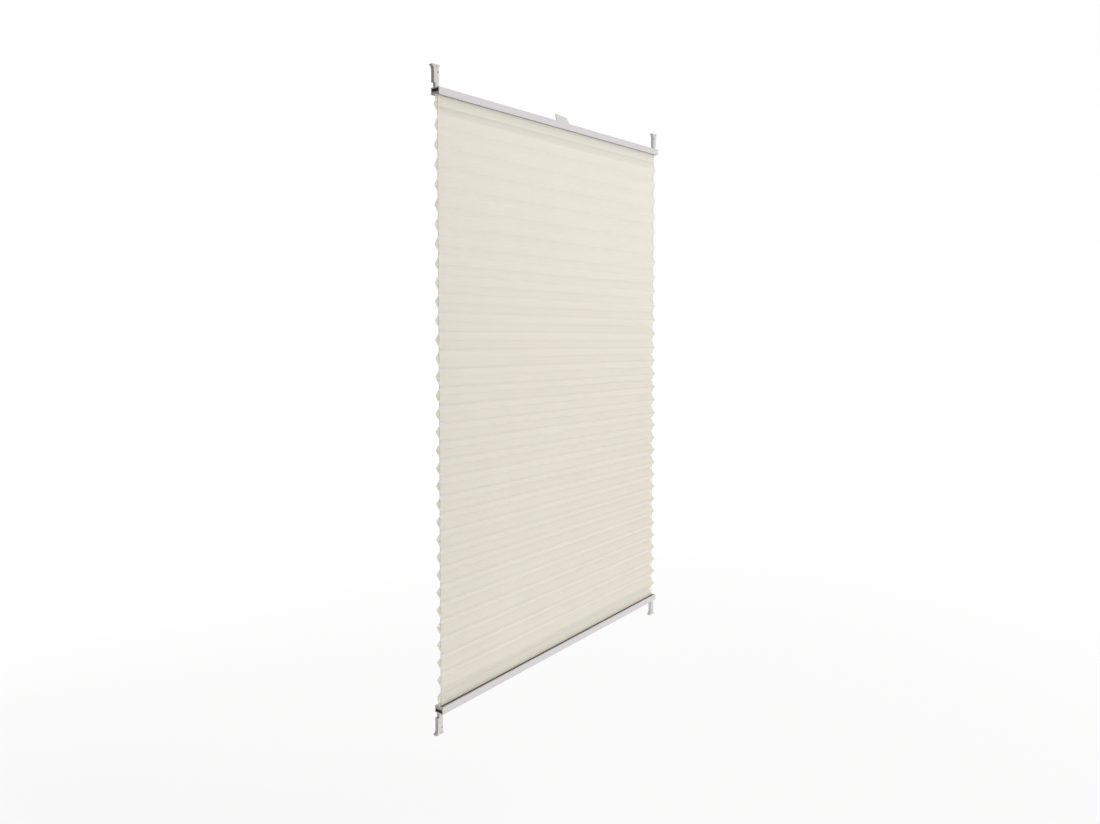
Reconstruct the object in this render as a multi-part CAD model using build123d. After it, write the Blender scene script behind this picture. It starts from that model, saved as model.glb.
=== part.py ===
from build123d import *
import math
import os

# Pleated blind on tensioned cords. Millimetres, +Z up, front towards -Y, and the
# origin at the middle of the hanging blind. The upper left corner is modelled, and
# the other corners are its mirror images.

# Overall sizes
blind_width = 750.0  # over both end caps
drop = 1080.0  # from the underside of the top rail to the top of the bottom rail

# Pleated cloth
flank = 20.0  # cloth between two creases
openness = 0.8175  # average pleat pitch as a share of two flanks
pleat_sag = 0.025  # the upper pleats hang this much further open, as a share of the drop
cloth_thickness = 0.4
cloth_inset = 2.5  # side edge of the cloth from the end of the rail
hem_fold = 0.5  # the cloth leaves its hem this far behind the middle of the rail
hem_back = 7.5  # how far the hem reaches back from the middle of the rail
cord_hole_radius = 1.3

# Rail section: a closed cord chamber, and an open channel that holds the cloth
rail_depth = 20.0
rail_wall = 1.0
rail_corner = 1.0
chamber_height = 8.0
chamber_corner = 0.4
channel_height = 2.2
lip_thickness = 0.8
lip_width = 2.0
strip_thickness = 1.0
strip_width = 17.0

# End caps
cap_length = 18.0
cap_end_edge = 0.5
plug_length = 12.0
plug_wall = 1.4
end_recess = 1.6
end_recess_wall = 2.2
cavity_wall = 1.0
channel_end_wall = 1.5
pin_radius = 1.2
pin_seat = 1.5  # cap wall left in front of the guide pin
eyelet_radius = 2.0
eyelet_bore = 1.0
eyelet_flange_radius = 2.75
eyelet_flange = 0.6

# Cords and springs
cord_radius = 0.5
cord_lane = 4.0  # the crossing cords run this far either side of the middle
cord_stub = 1.0
ferrule_radius = 1.5
ferrule_length = 4.0
knot_radius = 1.4
spring_radius = 1.8
spring_wire = 0.5
spring_pitch = 1.5
spring_turns = 14

# Tension shoes
cord_inset = 6.0  # each upright cord from the end of the rail
neck_width = 9.0
neck_depth = 6.0
neck_out = 2.0  # middle of the neck beyond the cord, towards the end of the rail
neck_back = 1.5  # middle of the neck behind the cord
neck_corner = 1.0
neck_inserted = 2.4
neck_shown = 7.5
shaft_width = 12.4
shaft_depth = 7.5
shaft_length = 20.0
shaft_out = 3.5
shaft_back = 2.0
shaft_corner = 0.7
shaft_wall = 0.9  # left round the pocket where the neck enters the shaft
shaft_pocket = 2.5
flare_height = 9.0
head_width = 19.0
head_depth = 10.0  # the head flares to both sides and to the back
head_corner = 2.0
rim_height = 2.5
rim_edge = 1.2
notch_width = 3.6
notch_depth = 2.4
notch_length = 6.5
window_radius = 1.9
window_below_head = 13.0
window_back = 1.7
shoe_bore = 0.9
knot_drop = 0.4  # the knot is pulled this far below the middle of its window

# Grip
grip_base_width = 46.0
grip_top_width = 37.0
grip_rise = 19.0
grip_fall = 4.0  # the right end of the tab is this much lower
grip_lean = 7.0
grip_thickness = 2.2
grip_corner = 3.0
grip_foot_depth = 9.0
grip_foot_height = 1.5
leg_spacing = 26.0
leg_width = 5.0
leg_thickness = 1.6
barb = 0.5
barb_height = 1.2

# Clearances
fit = 0.1  # pieces pushed into each other
seat_gap = 0.3  # pieces that part when a rail slides
turn_gap = 0.1  # cord off the pin it turns on

# Heights above the inner face of a rail, the side that the cloth hangs from
rail_height = rail_wall + chamber_height + rail_wall + channel_height + lip_thickness
channel_top = lip_thickness + channel_height
chamber_middle = rail_height - rail_wall - chamber_height / 2
cavity_height = chamber_height - 2 * (fit + plug_wall)
cavity_width = rail_depth - 2 * (rail_wall + fit + plug_wall)
cavity_floor = chamber_middle - cavity_height / 2

inner_width = rail_depth - 2 * rail_wall
slot_width = inner_width - 2 * lip_width
rail_length = blind_width - 2 * cap_length
cloth_width = blind_width - 2 * cloth_inset
cord_x = -blind_width / 2 + cord_inset
turn_radius = pin_radius + turn_gap + cord_radius
pin_x = cord_x + turn_radius
rail_z = drop / 2
outer_z = rail_z + rail_height
middle_z = rail_z + chamber_middle


def block(low, high):
    size = Vector(*high) - Vector(*low)
    return Location(Vector(*low) + size * 0.5) * Box(size.X, size.Y, size.Z)


def upright(radius, x, low, high):
    return Pos(x, 0, (low + high) / 2) * Cylinder(radius, high - low)


def rail_outline():
    return Pos(0, rail_height / 2) * RectangleRounded(rail_depth, rail_height, rail_corner)


def cloth_channel():
    """The T-shaped channel that the cloth strip slides into, with its two lips."""
    seat = Rectangle(inner_width, channel_height)
    slot = Rectangle(slot_width, lip_thickness)
    seat_middle = lip_thickness + channel_height / 2
    return Pos(0, seat_middle) * seat + Pos(0, lip_thickness / 2) * slot


def along_rail(section, start, length):
    return Pos(start, 0, rail_z) * extrude(Plane.YZ * section, length)


def rail(grip_slots):
    """Extruded aluminium rail, cut to fit between the end caps."""
    chamber = RectangleRounded(inner_width, chamber_height, chamber_corner)
    section = rail_outline() - Pos(0, chamber_middle) * chamber - cloth_channel()
    body = along_rail(section, -rail_length / 2, rail_length)
    if grip_slots:
        for side in (-1, 1):
            middle = side * leg_spacing / 2
            reach_x = leg_width / 2 + fit
            reach_y = leg_thickness / 2 + barb + fit
            low = (middle - reach_x, -reach_y, outer_z - rail_wall)
            high = (middle + reach_x, reach_y, outer_z)
            body -= block(low, high)
    return body


def end_cap():
    """Moulded cap: a block of the rail's outline, a hollow plug and a neck socket."""
    end = -blind_width / 2
    body = along_rail(rail_outline(), end, cap_length)
    body = chamfer(body.faces().sort_by(Axis.X)[0].edges(), cap_end_edge)
    plug_width = inner_width - 2 * fit
    plug_height = chamber_height - 2 * fit
    plug = Pos(0, chamber_middle) * RectangleRounded(plug_width, plug_height, chamber_corner)
    body += along_rail(plug, end + cap_length - rail_corner, plug_length + rail_corner)
    cavity_start = end_recess + cavity_wall
    cavity = Pos(0, chamber_middle) * Rectangle(cavity_width, cavity_height)
    cavity_length = cap_length + plug_length - cavity_start
    body -= along_rail(cavity, end + cavity_start, cavity_length)
    recess_height = rail_height - channel_top - 2 * end_recess_wall
    recess = Rectangle(rail_depth - 2 * end_recess_wall, recess_height)
    recess_middle = (rail_height + channel_top) / 2
    body -= along_rail(Pos(0, recess_middle) * recess, end, end_recess)
    body -= along_rail(cloth_channel(), end + channel_end_wall, cap_length)
    neck_x = cord_x - neck_out
    reach_x = neck_width / 2 + seat_gap
    reach_y = neck_depth / 2 + seat_gap
    socket_floor = outer_z - neck_inserted - seat_gap
    low = (neck_x - reach_x, neck_back - reach_y, socket_floor)
    body -= block(low, (neck_x + reach_x, neck_back + reach_y, outer_z))
    body -= upright(eyelet_radius + fit / 2, cord_x, rail_z, middle_z)
    return body - guide_pin(pin_radius + fit / 2)


def guide_pin(radius):
    """Steel pin across the cap, which the crossing cords turn on."""
    front = -rail_depth / 2 + pin_seat
    length = rail_depth / 2 - front
    middle = Pos(pin_x, front + length / 2, middle_z)
    return middle * Rot(90, 0, 0) * Cylinder(radius, length)


def cord_eyelet():
    """Flanged bush in the floor of the cap, which keeps the cord off the plastic."""
    low = rail_z + channel_top
    floor = rail_z + cavity_floor
    body = upright(eyelet_radius, cord_x, low, floor)
    body += upright(eyelet_flange_radius, cord_x, floor, floor + eyelet_flange)
    return body - upright(eyelet_bore, cord_x, low, floor + eyelet_flange)


def cord_pair():
    """Both upright cord paths as one cutter, from end to end of the blind."""
    left = upright(cord_hole_radius, cord_x, -outer_z, outer_z)
    return left + mirror(left, Plane.YZ)


def cloth_strip():
    """Flat strip that locks the hem of the cloth in the rail's channel."""
    top = rail_z + channel_top - fit
    half = cloth_width / 2
    low = (-half, -strip_width / 2, top - strip_thickness)
    body = block(low, (half, strip_width / 2, top))
    return body - cord_pair()


def ribbon(points, thickness):
    """Face of even thickness along an open zigzag line, with mitred corners."""
    sides = ([], [])
    for place, point in enumerate(points):
        before = points[max(place - 1, 0)]
        after = points[min(place + 1, len(points) - 1)]
        into = (point - before) if place else (after - point)
        away = (after - point) if point != after else into
        into_normal = Vector(-into.Y, into.X).normalized()
        away_normal = Vector(-away.Y, away.X).normalized()
        mitre = (into_normal + away_normal).normalized()
        reach = thickness / 2 / mitre.dot(into_normal)
        sides[0].append(point + mitre * reach)
        sides[1].append(point - mitre * reach)
    return make_face(Polyline(*sides[0], *reversed(sides[1]), close=True))


def pleated_cloth():
    """One sheet from hem to hem, creased to and fro, hanging a little open at the top."""
    pleats = round(drop / (2 * flank * openness))
    hem_z = rail_z + channel_top - 2 * fit - strip_thickness - cloth_thickness / 2
    creases = []
    heights = []
    for crease in range(2 * pleats + 1):
        share = crease / (2 * pleats)
        heights.append(hem_z * (1 - 2 * (share + pleat_sag * math.sin(math.pi * share))))
    for crease, height in enumerate(heights):
        neighbour = heights[crease + 1] if crease < 2 * pleats else heights[crease - 1]
        swing = math.sqrt(flank**2 - (neighbour - height) ** 2) / 2
        creases.append(Vector(swing if crease % 2 else -swing, height))
    creases[0] = Vector(hem_fold, hem_z)
    creases[-1] = Vector(hem_fold, -hem_z)
    hems = Vector(hem_back, hem_z), Vector(hem_back, -hem_z)
    profile = ribbon([hems[0], *creases, hems[1]], cloth_thickness)
    sheet = extrude(Plane.YZ * profile, cloth_width / 2, both=True)
    return sheet - cord_pair()


def shoe_section(width, depth, corner, height):
    """Level section of the shoe above its neck, with its front face in one plane."""
    front = shaft_back - shaft_depth / 2
    middle = Pos(cord_x - shaft_out, front + depth / 2, height)
    return middle * RectangleRounded(width, depth, corner)


def tension_shoe():
    """Moulded shoe: neck in the cap, straight shaft, and a flared head on the window."""
    shaft_z = outer_z + neck_shown
    flare_z = shaft_z + shaft_length
    rim_z = flare_z + flare_height
    head_z = rim_z + rim_height
    body = extrude(shoe_section(shaft_width, shaft_depth, shaft_corner, shaft_z), shaft_length)
    pocket_width = shaft_width - 2 * shaft_wall
    pocket_depth = shaft_depth - 2 * shaft_wall
    pocket = Pos(cord_x - shaft_out, shaft_back, shaft_z) * Rectangle(pocket_width, pocket_depth)
    body -= extrude(pocket, shaft_pocket)
    neck = RectangleRounded(neck_width, neck_depth, neck_corner)
    neck_length = neck_inserted + neck_shown + shaft_pocket
    neck_foot = Pos(cord_x - neck_out, neck_back, outer_z - neck_inserted)
    body += neck_foot * extrude(neck, neck_length)
    steps = 4
    sections = []
    for step in range(steps + 1):
        spread = 1 - math.cos(math.pi / 2 * step / steps)
        width = shaft_width + (head_width - shaft_width) * spread
        depth = shaft_depth + (head_depth - shaft_depth) * spread
        corner = shaft_corner + (head_corner - shaft_corner) * spread
        rise = flare_z + flare_height * math.sin(math.pi / 2 * step / steps)
        sections.append(shoe_section(width, depth, corner, rise))
    body += loft(sections)
    rim = extrude(shoe_section(head_width, head_depth, head_corner, rim_z), rim_height)
    body += fillet(rim.faces().sort_by(Axis.Z)[-1].edges(), rim_edge)
    front = shaft_back - shaft_depth / 2
    half = notch_width / 2
    notch = make_face(Polyline((-half, front), (half, front), (0, front + notch_depth), close=True))
    body -= Pos(cord_x - shaft_out, 0, head_z - notch_length) * extrude(notch, notch_length)
    window_z = head_z - window_below_head
    window_length = window_back - front
    window = Rot(90, 0, 0) * Cylinder(window_radius, window_length)
    body -= Pos(cord_x, window_back - window_length / 2, window_z) * window
    return body - upright(shoe_bore, cord_x, outer_z - neck_inserted, window_z)


def upright_cord():
    """Cord from shoe to shoe, through both rails and every pleat, knotted at its ends."""
    head_z = outer_z + neck_shown + shaft_length + flare_height + rim_height
    knot_z = head_z - window_below_head - knot_drop
    body = upright(cord_radius, cord_x, -knot_z, knot_z)
    for end in (-1, 1):
        body += Pos(cord_x, 0, end * knot_z) * Sphere(knot_radius)
    return body


def turned(shape):
    """Half a turn about the middle of the top rail, which swaps its ends and its height."""
    return Pos(0, 0, middle_z) * Rot(0, 180, 0) * Pos(0, 0, -middle_z) * shape


def pin_turn(reach):
    """Cord path from above the left pin, round under it, to the tangent towards reach."""
    turn = 90 + math.degrees(math.asin(turn_radius / reach))
    stub = Line((0, cord_stub), (0, 0))
    bend = JernArc(start=(0, 0), tangent=(0, -1), radius=turn_radius, arc_size=turn)
    corner = Plane((cord_x, -cord_lane, middle_z), x_dir=(1, 0, 0), z_dir=(0, -1, 0))
    return corner * stub, corner * bend


def cord_along(path):
    start = Plane(path @ 0, z_dir=path % 0)
    return sweep(start * Circle(cord_radius), path=path)


def sprung_cord():
    """Crossing cord of the top rail from the left pin to the ferrule at its spring."""
    end_x = -spring_turns * spring_pitch / 2 - spring_wire - ferrule_length
    stub, bend = pin_turn(end_x - pin_x)
    run = Line(bend @ 1, (end_x, -cord_lane, middle_z))
    body = cord_along(Wire([stub.edge(), bend.edge(), run.edge()]))
    ferrule = Rot(0, 90, 0) * Cylinder(ferrule_radius, ferrule_length)
    return body + Pos(end_x + ferrule_length / 2, -cord_lane, middle_z) * ferrule


def crossing_cord():
    """Crossing cord without a spring: round under the left pin and over the right one."""
    stub, bend = pin_turn(-pin_x)
    run = Line(bend @ 1, turned(bend) @ 1)
    path = Wire([stub.edge(), bend.edge(), run.edge(), turned(bend).edge(), turned(stub).edge()])
    return cord_along(path)


def tension_spring():
    """Open-coiled spring, which keeps its crossing cord tight."""
    length = spring_turns * spring_pitch
    coil = Helix(spring_pitch, length, spring_radius, direction=(1, 0, 0))
    wire = Plane(coil @ 0, z_dir=coil % 0) * Circle(spring_wire / 2)
    return Pos(-length / 2, -cord_lane, middle_z) * sweep(wire, path=coil, is_frenet=True)


def grip():
    """Finger grip: a leaning tab on a foot, snapped into the top of the rail."""
    half_base = grip_base_width / 2
    half_top = grip_top_width / 2
    slant = math.hypot(grip_rise, grip_lean)
    corners = (-half_base, 0), (half_base, 0), (half_top, slant - grip_fall), (-half_top, slant)
    face = make_face(Polyline(*corners, close=True))
    face = fillet(face.vertices().sort_by(Axis.Y)[-2:], grip_corner)
    tab = extrude(Plane.XZ * face, grip_thickness / 2, both=True)
    tab = fillet(tab.edges().filter_by(GeomType.CIRCLE), grip_thickness / 4)
    tab = Rot(-math.degrees(math.atan2(grip_lean, grip_rise)), 0, 0) * tab
    body = Pos(0, 0, outer_z) * tab
    foot = RectangleRounded(grip_base_width, grip_foot_depth, grip_foot_depth / 2 - fit)
    body += Pos(0, 0, outer_z) * extrude(foot, grip_foot_height)
    body -= block((-half_base, -rail_depth, outer_z - rail_depth), (half_base, rail_depth, outer_z))
    leg_end = outer_z - rail_wall - fit - barb_height
    for side in (-1, 1):
        left = side * leg_spacing / 2 - leg_width / 2
        right = left + leg_width
        half = leg_thickness / 2
        body += block((left, -half, leg_end), (right, half, outer_z))
        catch_top = leg_end + barb_height
        catch = Polyline((half, leg_end), (half + barb, catch_top), (half, catch_top), close=True)
        catch = Pos(left) * extrude(Plane.YZ * make_face(catch), leg_width)
        body += catch + mirror(catch, Plane.XZ)
    return body


nodes = {
    "pleated_fabric": pleated_cloth(),
    "top_rail": rail(grip_slots=True),
    "bottom_rail": mirror(rail(grip_slots=False), Plane.XY),
    "grip": grip(),
    "top_fabric_strip": cloth_strip(),
    "bottom_fabric_strip": mirror(cloth_strip(), Plane.XY),
    "left_guide_cord": upright_cord(),
    "right_guide_cord": mirror(upright_cord(), Plane.YZ),
}

# One of each in every corner
for name, piece in {
    "end_cap": end_cap(),
    "guide_pin": guide_pin(pin_radius),
    "cord_eyelet": cord_eyelet(),
    "tension_shoe": tension_shoe(),
}.items():
    nodes[f"top_left_{name}"] = piece
    nodes[f"top_right_{name}"] = mirror(piece, Plane.YZ)
    nodes[f"bottom_left_{name}"] = mirror(piece, Plane.XY)
    nodes[f"bottom_right_{name}"] = mirror(mirror(piece, Plane.YZ), Plane.XY)

# In each rail one cord crosses in front and one behind, from opposite ends
half_cord = sprung_cord()
nodes["top_front_cord_left"] = half_cord
nodes["top_front_cord_right"] = turned(half_cord)
nodes["top_back_cord_right"] = Rot(0, 0, 180) * half_cord
nodes["top_back_cord_left"] = Rot(0, 0, 180) * turned(half_cord)
nodes["front_spring"] = tension_spring()
nodes["back_spring"] = Rot(0, 0, 180) * tension_spring()
nodes["bottom_front_cord"] = mirror(crossing_cord(), Plane.XY)
nodes["bottom_back_cord"] = Rot(0, 0, 180) * mirror(crossing_cord(), Plane.XY)

os.makedirs("parts", exist_ok=True)
for name, shape in nodes.items():
    export_step(shape, f"parts/{name}.step")
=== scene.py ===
import math
import random

import bmesh
import bpy
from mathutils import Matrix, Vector


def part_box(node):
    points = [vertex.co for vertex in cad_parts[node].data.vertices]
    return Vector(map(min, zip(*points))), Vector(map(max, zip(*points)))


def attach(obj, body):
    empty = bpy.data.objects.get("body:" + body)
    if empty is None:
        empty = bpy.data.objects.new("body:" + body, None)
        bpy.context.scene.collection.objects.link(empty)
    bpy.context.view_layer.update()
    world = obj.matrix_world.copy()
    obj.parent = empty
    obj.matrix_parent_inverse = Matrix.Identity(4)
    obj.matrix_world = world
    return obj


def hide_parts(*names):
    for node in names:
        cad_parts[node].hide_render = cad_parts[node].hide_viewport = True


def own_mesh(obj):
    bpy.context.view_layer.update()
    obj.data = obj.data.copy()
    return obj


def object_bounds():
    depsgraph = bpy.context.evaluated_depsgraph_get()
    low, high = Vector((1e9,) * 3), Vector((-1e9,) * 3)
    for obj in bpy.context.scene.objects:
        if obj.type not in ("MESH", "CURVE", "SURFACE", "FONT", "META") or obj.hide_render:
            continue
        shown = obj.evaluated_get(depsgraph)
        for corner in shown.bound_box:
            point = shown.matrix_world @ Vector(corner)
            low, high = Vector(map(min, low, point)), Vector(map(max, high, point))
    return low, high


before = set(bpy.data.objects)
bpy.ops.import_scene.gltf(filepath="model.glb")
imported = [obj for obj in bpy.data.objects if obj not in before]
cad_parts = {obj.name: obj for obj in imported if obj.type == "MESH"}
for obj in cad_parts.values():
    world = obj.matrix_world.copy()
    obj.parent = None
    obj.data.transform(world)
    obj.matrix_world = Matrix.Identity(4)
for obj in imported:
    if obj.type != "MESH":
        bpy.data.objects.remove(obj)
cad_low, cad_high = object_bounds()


# Pleated cloth. One sheet of crepe-woven polyester, heat-set into pleats with flanks 20 mm deep. It hangs
# between the rails from two flat hems, a little further open at the top, and the creases drop towards the
# right-hand side. On the real blind it closes up as a rail slides; here it is made as two halves that meet
# at mid-height.

class Value:
    """A number or colour running through a node tree; arithmetic on it adds Math nodes."""

    def __init__(self, work, socket):
        self.work = work
        self.socket = socket

    def maths(self, operation, *values):
        return self.work.node("ShaderNodeMath", {"operation": operation}, dict(enumerate(values)))

    def __add__(self, other):
        return self.maths("ADD", self, other)

    def __sub__(self, other):
        return self.maths("SUBTRACT", self, other)

    def __rsub__(self, other):
        return self.maths("SUBTRACT", other, self)

    def __mul__(self, other):
        return self.maths("MULTIPLY", self, other)

    def __abs__(self):
        return self.maths("ABSOLUTE", self)

    def __gt__(self, other):
        return self.maths("GREATER_THAN", self, other)

    def __lt__(self, other):
        return self.maths("LESS_THAN", self, other)

    __radd__ = __add__
    __rmul__ = __mul__


class NodeWork:
    """The nodes of one material, or of the studio's light."""

    def __init__(self, tree):
        self.tree = tree

    def node(self, kind, settings, sockets, output=0):
        """Adds a node of any type: its settings, then the values or links of its sockets."""
        made = self.tree.nodes.new(kind)
        for setting, value in settings.items():
            setattr(made, setting, value)
        for socket, value in sockets.items():
            self.feed(made.inputs[socket], value)
        return Value(self, made.outputs[output])

    def feed(self, socket, value):
        if isinstance(value, Value):
            self.tree.links.new(value.socket, socket)
        else:
            socket.default_value = value


class Finish(NodeWork):
    """A material under construction around one Principled shader."""

    def __init__(self, name, **constants):
        self.material = bpy.data.materials.new(name)
        self.material.use_nodes = True
        super().__init__(self.material.node_tree)
        self.shader = self.tree.nodes["Principled BSDF"]
        self.wear(**constants)

    def wear(self, **sockets):
        """Feeds the shader's own sockets, named with underscores for spaces."""
        for socket, value in sockets.items():
            self.feed(self.shader.inputs[socket.replace("_", " ")], value)

    def place(self):
        return self.node("ShaderNodeTexCoord", {}, {}, "Object")

    def along(self, axis):
        return self.node("ShaderNodeSeparateXYZ", {}, {0: self.place()}, axis)

    def stretched(self, x, y, z):
        scale = {"Vector": self.place(), "Scale": (x, y, z)}
        return self.node("ShaderNodeMapping", {}, scale)

    def noise(self, vector, scale, detail):
        sockets = {"Vector": vector, "Scale": scale, "Detail": detail}
        return self.node("ShaderNodeTexNoise", {}, sockets)

    def ramp(self, value, start, end):
        """Goes smoothly from 0 at the start value to 1 at the end value."""
        sockets = {"Value": value, "From Min": start, "From Max": end}
        return self.node("ShaderNodeMapRange", {"interpolation_type": "SMOOTHSTEP"}, sockets)

    def blend(self, factor, first, second):
        sockets = {"Factor": factor, 6: first, 7: second}
        return self.node("ShaderNodeMix", {"data_type": "RGBA"}, sockets, 2)

    def relief(self, height, depth):
        """Raises the height as a bump, of the given depth in metres, and hands over the material."""
        bump = self.node("ShaderNodeBump", {}, {"Height": height, "Distance": depth})
        self.wear(Normal=bump)
        return self.material


BLACK = (0.0, 0.0, 0.0, 1.0)
CREAM = (0.748, 0.712, 0.634, 1.0)
PALE_CREAM = (0.812, 0.780, 0.706, 1.0)
PACKED_PAINTED_GLOW = (0.170, 0.163, 0.149, 1.0)
PACKED_LEVEL = (0.86, 0.99)  # how level a flank lies, 1 being flat, as its glow comes up
NOSE_Y = (-0.0026, -0.0058)  # depths between which a front crease darkens
NOSE_Z = (0.38, 0.05)  # heights between which that darkening comes up
NOSE_SHADE = 0.085


def crepe_cloth():
    """Off-white crepe: short crossed yarns of uneven thickness, matt, with light passing through, painted
    shade at the front creases and a painted glow where folds lie packed.
    """
    cloth = Finish("crepe_cloth", IOR=1.45, Emission_Strength=1.0)
    cloth.wear(Subsurface_Weight=0.75, Subsurface_Scale=0.0012, Subsurface_Radius=(1.0, 0.95, 0.85))
    weft = cloth.noise(cloth.stretched(0.35, 1.0, 1.0), scale=2600.0, detail=3.0)
    warp = cloth.noise(cloth.stretched(1.0, 0.4, 0.4), scale=2300.0, detail=2.0)
    yarns = weft * 0.6 + warp * 0.4
    clouds = cloth.noise(cloth.place(), scale=9.0, detail=3.0)
    # The two tones are mixed, and their contrast is raised about the middle.
    shade = (yarns * 0.7 + clouds * 0.3 - 0.5) * 1.4 + 0.5
    # Painted shade: the front creases are a little darker at the nose, fully so from mid-height down.
    nose = cloth.ramp(cloth.along("Y"), *NOSE_Y)
    painted_crease_shade = nose * cloth.ramp(cloth.along("Z"), *NOSE_Z) * NOSE_SHADE
    cloth.wear(Base_Color=cloth.blend(painted_crease_shade, cloth.blend(shade, CREAM, PALE_CREAM), BLACK))
    cloth.wear(Roughness=0.78 + yarns * 0.15)
    # Painted glow: folds that lie packed together are given a glow, standing in for the light they pass on
    # between them for longer than it is traced.
    normal = cloth.node("ShaderNodeNewGeometry", {}, {}, "True Normal")
    level = abs(cloth.node("ShaderNodeSeparateXYZ", {}, {0: normal}, 2))
    cloth.wear(Emission_Color=cloth.blend(cloth.ramp(level, *PACKED_LEVEL), BLACK, PACKED_PAINTED_GLOW))
    return cloth.relief(yarns, depth=0.00012)


CLOTH_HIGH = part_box("pleated_fabric")[1]
HALF_WIDTH = CLOTH_HIGH.x
CLOTH_THICKNESS = 0.0004
SHARP_ANGLE = 28  # degrees; creases bend more than this, and what bends less is smoothed
FLANK = 0.020
PLEATS = 33
HEM_Z = CLOTH_HIGH.z - CLOTH_THICKNESS / 2
HEM_BACK = 0.0075  # free edge of each hem, which lies level
HEM_MIDDLE = 0.004
HEM_FOLD = 0.0005  # fold between the hem and the first or last flank
HEM_ROWS = 2
LEFT_SAG = 0.014  # how far the creases drop at the left, as a share of the cloth's height
RIGHT_SAG = 0.036
SIDE_SKEW = 0.30  # how much of that drop moves from below mid-height to above it
CREASE_WAVER = 0.0005  # unevenness of a crease along its length
CREASE_WAVES = 4.2
CREASE_BLUNT = 0.00025  # how far a crease is rounded off
FLANK_SWELL = 0.00035
EDGE_WAVER = 0.00025
CORD_LOW, CORD_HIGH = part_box("left_guide_cord")
HOLE_X = (CORD_LOW.x + CORD_HIGH.x) / 2
HOLE_RADIUS = 0.0013
HOLE_SHARE = 0.42
FLANK_ROWS = (0.0, 0.025, 0.08, 0.28, HOLE_SHARE, 0.58, 0.72, 0.92, 0.975)  # shares of a flank
COLUMNS = 72
FULL_TURN = 6.28

sway = random.Random(4)
side_waver = [(sway.uniform(-1, 1), sway.uniform(-1, 1)) for _ in range(2 * PLEATS + 1)]
crease_waver = [(sway.uniform(-1, 1), sway.uniform(0, FULL_TURN)) for _ in range(2 * PLEATS + 1)]
flank_bulge = [sway.uniform(-1, 1) for _ in range(2 * PLEATS)]


def crease_height(crease, across):
    """Height of a crease at a share across the width: even at the hems, sagging between."""
    share = crease / (2 * PLEATS)
    sag = LEFT_SAG + (RIGHT_SAG - LEFT_SAG) * across
    drop = sag * math.sin(math.pi * share) * (1 + SIDE_SKEW * math.cos(math.pi * share))
    size, phase = crease_waver[crease]
    wave = math.sin(CREASE_WAVES * across + phase)
    waver = CREASE_WAVER * size * math.sin(math.pi * share) * wave
    return HEM_Z * (1 - 2 * (share + drop)) + waver


def flank_point(flank, share, across):
    """Depth and height of a point on one flank, at a share of the way down it."""
    upper = crease_height(flank, across)
    lower = crease_height(flank + 1, across)
    swing = math.sqrt(FLANK**2 - (upper - lower) ** 2) / 2
    swell = FLANK_SWELL * flank_bulge[flank] * math.sin(math.pi * share)
    if flank == 0:
        y = swing + (HEM_FOLD - swing) * (1 - share) + swell
    elif flank == 2 * PLEATS - 1:
        y = swing + (HEM_FOLD - swing) * share + swell
    else:
        front = -1 if flank % 2 == 0 else 1
        blunt = CREASE_BLUNT if share == 0.0 else 0.0
        y = front * (swing * (1 - 2 * share) - blunt) + swell
    return y, upper + (lower - upper) * share


def column_places():
    """Places across the cloth, with a column at either side of each cord's holes."""
    even = [-HALF_WIDTH + 2 * HALF_WIDTH * step / COLUMNS for step in range(COLUMNS + 1)]
    near = 3 * HOLE_RADIUS
    clear = [x for x in even if min(abs(x - HOLE_X), abs(x + HOLE_X)) > near or abs(x) == HALF_WIDTH]
    holes = [side * HOLE_X + part * HOLE_RADIUS for side in (-1, 1) for part in (-1, 1)]
    return sorted(clear + holes)


def pleated_sheet():
    """The whole sheet as one skin, hem to hem, before it is given its thickness."""
    places = column_places()
    rows = [[(y, HEM_Z)] * len(places) for y in (HEM_BACK, HEM_MIDDLE)]
    for flank in range(2 * PLEATS):
        for share in FLANK_ROWS:
            rows.append([flank_point(flank, share, (x + HALF_WIDTH) / (2 * HALF_WIDTH)) for x in places])
    rows += [[(y, -HEM_Z)] * len(places) for y in (HEM_FOLD, HEM_MIDDLE, HEM_BACK)]
    mesh = bmesh.new()
    grid = []
    for number, row in enumerate(rows):
        crease = min(max((number - HEM_ROWS) / len(FLANK_ROWS), 0), 2 * PLEATS)
        left, right = side_waver[round(crease)]
        line = []
        for x, (y, z) in zip(places, row):
            edge = EDGE_WAVER * (left if x == places[0] else right if x == places[-1] else 0)
            line.append(mesh.verts.new((x + edge, y, z)))
        grid.append(line)
    hole_rows = range(HEM_ROWS + FLANK_ROWS.index(HOLE_SHARE), len(rows), len(FLANK_ROWS))
    hole_columns = [places.index(side * HOLE_X - HOLE_RADIUS) for side in (-1, 1)]
    for row in range(len(rows) - 1):
        for column in range(len(places) - 1):
            if row in hole_rows and column in hole_columns:
                continue
            corners = grid[row][column], grid[row + 1][column]
            mesh.faces.new((*corners, grid[row + 1][column + 1], grid[row][column + 1]))
    return mesh


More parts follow.
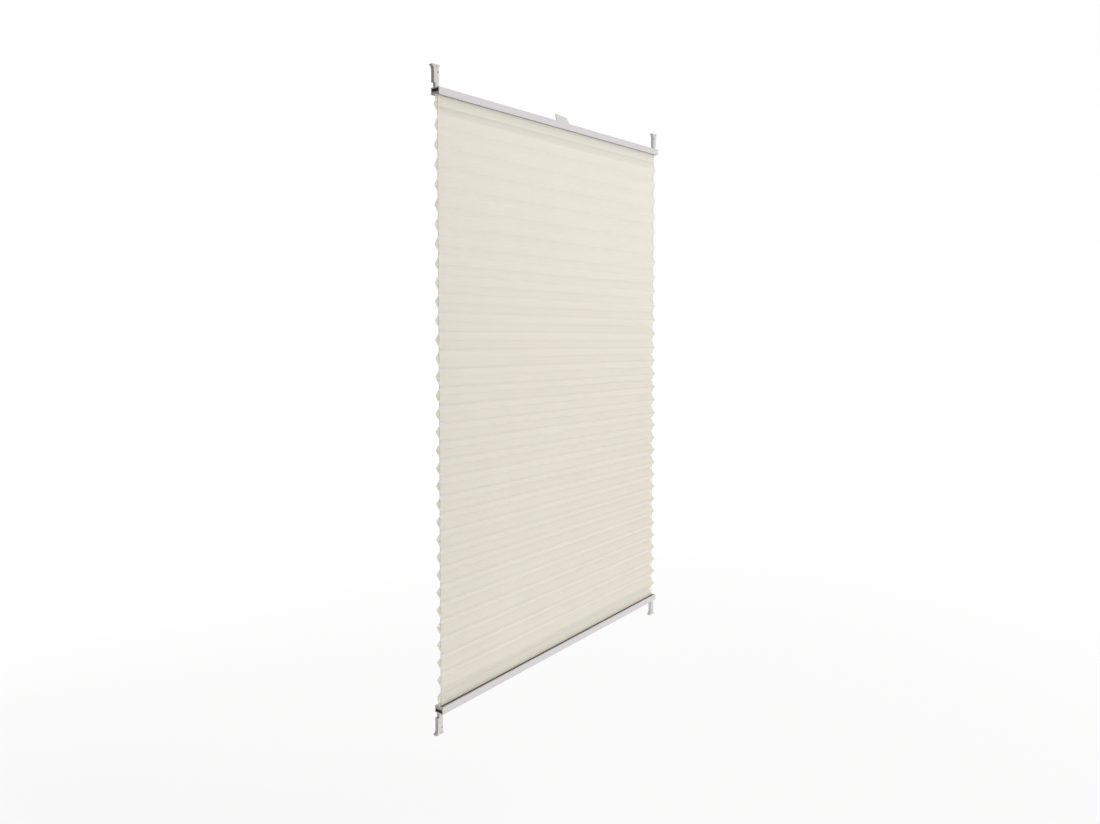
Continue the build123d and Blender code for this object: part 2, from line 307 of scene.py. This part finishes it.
def cloth_half(name, side):
    """The part of the sheet above or below mid-height, on the side of its own rail."""
    mesh = pleated_sheet()
    everything = mesh.verts[:] + mesh.edges[:] + mesh.faces[:]
    middle = {"plane_co": (0, 0, 0), "plane_no": (0, 0, side)}
    bmesh.ops.bisect_plane(mesh, geom=everything, clear_inner=True, **middle)
    data = bpy.data.meshes.new(name)
    mesh.to_mesh(data)
    mesh.free()
    half = bpy.data.objects.new(name, data)
    bpy.context.collection.objects.link(half)
    skin = half.modifiers.new("thickness", "SOLIDIFY")
    skin.thickness = CLOTH_THICKNESS
    skin.offset = 0.0
    bpy.context.view_layer.update()
    solid = half.evaluated_get(bpy.context.evaluated_depsgraph_get())
    half.data = bpy.data.meshes.new_from_object(solid)
    half.modifiers.clear()
    half.data.materials.clear()
    half.data.materials.append(cloth_finish)
    for polygon in half.data.polygons:
        polygon.use_smooth = True
    half.data.set_sharp_from_angle(angle=math.radians(SHARP_ANGLE))
    return half


cloth_finish = crepe_cloth()
for name, side, joint, strip in (
    ("cloth_upper_half", 1, "top_rail_slide", "top_fabric_strip"),
    ("cloth_lower_half", -1, "bottom_rail_slide", "bottom_fabric_strip"),
):
    half = cloth_half(name, side)
    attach(half, "hangers")
    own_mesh(half)
    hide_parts("pleated_fabric")


# Rails. Two lengths of the same aluminium extrusion, cut to fit between the end caps and powder coated in
# a satin cool grey. The coat has the faint grain of the powder, and the extrusion's drawing lines show
# through it along the length.

COAT_SHADE = (0.690, 0.668, 0.680, 1.0)
COAT_LIGHT = (0.740, 0.718, 0.730, 1.0)


def dress(nodes, finish):
    """Gives CAD nodes their finish."""
    for node in nodes:
        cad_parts[node].data.materials.clear()
        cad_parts[node].data.materials.append(finish)


def satin_coat():
    coat = Finish("satin_coat", Specular_IOR_Level=0.45, Coat_Weight=0.12, Coat_Roughness=0.35)
    powder = coat.noise(coat.place(), scale=1500.0, detail=2.0)
    drawn = coat.noise(coat.stretched(0.01, 1.0, 1.0), scale=900.0, detail=2.0)
    coat.wear(Base_Color=coat.blend(powder, COAT_SHADE, COAT_LIGHT))
    coat.wear(Roughness=0.40 + drawn * 0.16)
    return coat.relief(powder * 0.5 + drawn * 0.5, depth=0.00003)


dress(("top_rail", "bottom_rail"), satin_coat())


# Caps, shoes and grip. All are moulded in the same light warm-grey plastic, with the fine spark texture of
# the mould and a slight change of tone along the flow. The caps plug into the rails, and the shoes' necks
# into the caps. The pocket in the outer end of each cap is painted dark, as painted shade for its shadow.

PLASTIC_SHADE = (0.685, 0.675, 0.660, 1.0)
PLASTIC_LIGHT = (0.755, 0.745, 0.730, 1.0)
POCKET_PAINTED_SHADE = (0.10, 0.10, 0.10, 1.0)
CAP_LOW, CAP_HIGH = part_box("top_right_end_cap")
POCKET_X = (CAP_HIGH.x - 0.0025, CAP_HIGH.x - 0.0005)  # a box round the pocket, alike in all four caps
POCKET_Y = CAP_HIGH.y - 0.0021
POCKET_Z = (CAP_LOW.z + 0.0050, CAP_HIGH.z - 0.0020)


def moulded_plastic():
    plastic = Finish("moulded_plastic", Subsurface_Weight=0.08, Subsurface_Scale=0.002, IOR=1.5)
    grain = plastic.noise(plastic.place(), scale=1800.0, detail=3.0)
    flow = plastic.noise(plastic.place(), scale=60.0, detail=2.0)
    skin = plastic.blend(grain * 0.4 + flow * 0.6, PLASTIC_SHADE, PLASTIC_LIGHT)
    width, depth, height = (abs(plastic.along(axis)) for axis in "XYZ")
    # Painted shade: a box round each cap's pocket is coloured dark.
    end = (width > POCKET_X[0]) * (width < POCKET_X[1])
    within = (depth < POCKET_Y) * (height < POCKET_Z[1]) * (height > POCKET_Z[0])
    plastic.wear(Base_Color=plastic.blend(end * within, skin, POCKET_PAINTED_SHADE))
    plastic.wear(Roughness=0.38 + grain * 0.2)
    return plastic.relief(grain, depth=0.00004)


CORNERS = ("top_left", "top_right", "bottom_left", "bottom_right")
moulded = ["grip"]
moulded += [f"{corner}_{piece}" for corner in CORNERS for piece in ("end_cap", "tension_shoe")]
dress(moulded, moulded_plastic())


# Cloth strips. Flat plastic strips, pushed along the rails' channels over the hems, which they hold in.
# They are coloured near-black as painted shade, so that from the front each one shows only as a dark shadow
# line between the cloth and its rail.

STRIP_SHADE = (0.060, 0.060, 0.062, 1.0)
STRIP_LIGHT = (0.090, 0.090, 0.092, 1.0)


def painted_shade_strip():
    strip = Finish("painted_shade_strip", IOR=1.49)
    haze = strip.noise(strip.stretched(0.05, 1.0, 1.0), scale=500.0, detail=2.0)
    # Near-black tones: painted shade for the shadow in the rail's channel.
    strip.wear(Base_Color=strip.blend(haze, STRIP_SHADE, STRIP_LIGHT))
    strip.wear(Roughness=0.3 + haze * 0.15)
    return strip.relief(haze, depth=0.00002)


dress(("top_fabric_strip", "bottom_fabric_strip"), painted_shade_strip())


# Cords. Braided polyester, 1 mm thick, off-white, knotted in the shoes and held taut by the springs. The
# braid shows as two sets of yarns that cross in a small diamond pattern.

CORD_SHADE = (0.50, 0.49, 0.46, 1.0)
CORD_LIGHT = (0.78, 0.77, 0.73, 1.0)
BRAID_TURNS = 5200.0


def braided_cord():
    cord = Finish("braided_cord", Sheen_Weight=0.2, IOR=1.45)
    turn = cord.along("X") + cord.along("Y")
    rise = cord.along("Z") + cord.along("X")
    right = cord.node("ShaderNodeMath", {"operation": "SINE"}, {0: (rise + turn * 2) * BRAID_TURNS})
    left = cord.node("ShaderNodeMath", {"operation": "SINE"}, {0: (rise - turn * 2) * BRAID_TURNS})
    braid = cord.node("ShaderNodeMath", {"operation": "MAXIMUM"}, {0: right, 1: left}) * 0.5 + 0.5
    cord.wear(Base_Color=cord.blend(braid, CORD_SHADE, CORD_LIGHT))
    cord.wear(Roughness=0.6 + braid * 0.2)
    return cord.relief(braid, depth=0.00008)


cords = ["left_guide_cord", "right_guide_cord", "bottom_front_cord", "bottom_back_cord"]
cords += [f"top_{lane}_cord_{side}" for lane in ("front", "back") for side in ("left", "right")]
dress(cords, braided_cord())


# Guide pins and springs. All are of bright drawn steel. The pins are pushed across the end caps, and the
# crossing cords turn on them. The springs are coiled wire, which pulls on the cords inside the top rail.

STEEL_SHADE = (0.48, 0.48, 0.49, 1.0)
STEEL_LIGHT = (0.68, 0.68, 0.69, 1.0)


def drawn_steel():
    steel = Finish("drawn_steel", Metallic=1.0)
    lines = steel.noise(steel.stretched(0.2, 3.0, 0.2), scale=1500.0, detail=2.0)
    steel.wear(Base_Color=steel.blend(lines, STEEL_SHADE, STEEL_LIGHT))
    steel.wear(Roughness=0.2 + lines * 0.15)
    return steel.relief(lines, depth=0.00002)


dress([f"{corner}_guide_pin" for corner in CORNERS] + ["front_spring", "back_spring"], drawn_steel())


# Cord eyelets. Small flanged bushes of smooth white acetal, pressed into the floor of each cap, so that the
# cap slides freely along its upright cord.

ACETAL_SHADE = (0.78, 0.78, 0.76, 1.0)
ACETAL_LIGHT = (0.85, 0.85, 0.83, 1.0)


def smooth_acetal():
    acetal = Finish("smooth_acetal", IOR=1.48)
    swirl = acetal.noise(acetal.place(), scale=700.0, detail=2.0)
    acetal.wear(Base_Color=acetal.blend(swirl, ACETAL_SHADE, ACETAL_LIGHT))
    acetal.wear(Roughness=0.22 + swirl * 0.1)
    return acetal.relief(swirl, depth=0.00001)


dress([f"{corner}_cord_eyelet" for corner in CORNERS], smooth_acetal())


# Studio. A plain pale floor well below the hanging blind, soft light from the front, the back and above,
# and a black flag that keeps its left-hand faces in shade. The camera stands to the left of the blind,
# pitched a little down, with its lens shifted down.

WHITE = (1.0, 1.0, 1.0, 1.0)
FLOOR_BELOW = 0.30
FLOOR_REACH = 40.0
FLOOR_PAINT = (0.10, 0.10, 0.10, 1.0)
FLOOR_GLOW = (0.84, 0.84, 0.84, 1.0)
FLOOR_FADE = (1.2, 3.6)  # metres out from below the blind
FLAG_X = -0.85
FLAG_Y = (-0.35, 1.6)
FLAG_Z = (cad_low.z - 0.15, cad_high.z + 0.6)
FLAG_BLACK = (0.01, 0.01, 0.01, 1.0)
FILL_COLOUR = (1.0, 0.99, 0.98, 1.0)
FILL_LEVEL = 0.32
FILL_SLOPE = (0.30, -0.04, 0.88)  # how much the fill brightens towards the right, the back and the top


def studio_panel(name, corners, finish):
    """One flat four-cornered panel, which isn't part of the blind."""
    data = bpy.data.meshes.new(name)
    data.from_pydata(corners, [], [(0, 1, 2, 3)])
    data.materials.append(finish.material)
    panel = bpy.data.objects.new(name, data)
    bpy.context.collection.objects.link(panel)
    return panel


def studio_floor():
    """A pale floor that fades to the white of the backdrop before it reaches the horizon."""
    paper = Finish("studio_paper", Roughness=0.9, Emission_Strength=1.0)
    reach = paper.node("ShaderNodeVectorMath", {"operation": "LENGTH"}, {0: paper.place()}, 1)
    near, far = FLOOR_FADE
    fade = {"Value": reach, "From Min": near, "From Max": far}
    away = paper.node("ShaderNodeMapRange", {"interpolation_type": "SMOOTHERSTEP"}, fade)
    paper.wear(Base_Color=paper.blend(away, FLOOR_PAINT, BLACK))
    paper.wear(Emission_Color=paper.blend(away, FLOOR_GLOW, WHITE))
    level = cad_low.z - FLOOR_BELOW
    ways = ((-1, -1), (1, -1), (1, 1), (-1, 1))
    studio_panel("studio_floor", [(x * FLOOR_REACH, y * FLOOR_REACH, level) for x, y in ways], paper)


def studio_flag():
    """Black flag to the left of the blind, which the camera sees through."""
    velvet = Finish("black_velvet", Base_Color=FLAG_BLACK, Roughness=1.0)
    near, far = FLAG_Y
    low, high = FLAG_Z
    corners = [(FLAG_X, y, z) for y, z in ((near, low), (far, low), (far, high), (near, high))]
    studio_panel("studio_flag", corners, velvet).visible_camera = False


def studio_world():
    """White backdrop for the camera, and on the blind an even light, brightest from above."""
    world = bpy.data.worlds.new("studio_world")
    world.use_nodes = True
    bpy.context.scene.world = world
    light = NodeWork(world.node_tree)
    backdrop = light.tree.nodes["Background"]
    light.feed(backdrop.inputs["Color"], WHITE)
    sky = light.node("ShaderNodeTexCoord", {}, {}, "Generated")
    dot = {"operation": "DOT_PRODUCT"}
    slope = light.node("ShaderNodeVectorMath", dot, {0: sky, 1: FILL_SLOPE}, "Value")
    strength = slope + FILL_LEVEL
    fill = light.node("ShaderNodeBackground", {}, {"Color": FILL_COLOUR, "Strength": strength})
    seen = light.node("ShaderNodeLightPath", {}, {}, "Is Camera Ray")
    white = Value(light, backdrop.outputs["Background"])
    both = light.node("ShaderNodeMixShader", {}, {0: seen, 1: fill, 2: white})
    light.feed(light.tree.nodes["World Output"].inputs["Surface"], both)


def softbox(name, place, size, watts):
    """Rectangular soft light, aimed at the middle of the blind."""
    lamp = bpy.data.lights.new(name, "AREA")
    lamp.shape = "RECTANGLE"
    lamp.size, lamp.size_y = size
    lamp.energy = watts
    box = bpy.data.objects.new(name, lamp)
    bpy.context.collection.objects.link(box)
    box.location = place
    box.rotation_euler = (-Vector(place)).to_track_quat("-Z", "Y").to_euler()


studio_floor()
studio_flag()
studio_world()
softbox("key_light", place=(1.6, -3.8, 0.3), size=(2.4, 3.6), watts=11)
softbox("front_light", place=(-1.3, -3.8, 0.2), size=(3.0, 3.6), watts=16)
softbox("back_light", place=(1.0, 3.5, 0.8), size=(2.0, 2.0), watts=26)

CAMERA_PLACE = (-1.4396, -1.0561, 0.1751)
CAMERA_PITCH = -2.698
CAMERA_TURN = -52.844
CAMERA_SENSOR = 36.0
CAMERA_FOCAL = 27.805
CAMERA_SHIFT = -0.06
CAMERA_NEAREST = 0.01
camera_data = bpy.data.cameras.new("camera")
camera_data.sensor_width = CAMERA_SENSOR
camera_data.lens = CAMERA_FOCAL
camera_data.shift_y = CAMERA_SHIFT
camera_data.clip_start = CAMERA_NEAREST
camera = bpy.data.objects.new("camera", camera_data)
bpy.context.collection.objects.link(camera)
camera.location = CAMERA_PLACE
camera.rotation_euler = (math.radians(90 + CAMERA_PITCH), 0, math.radians(CAMERA_TURN))
bpy.context.scene.camera = camera
bpy.context.scene.view_settings.view_transform = "Standard"
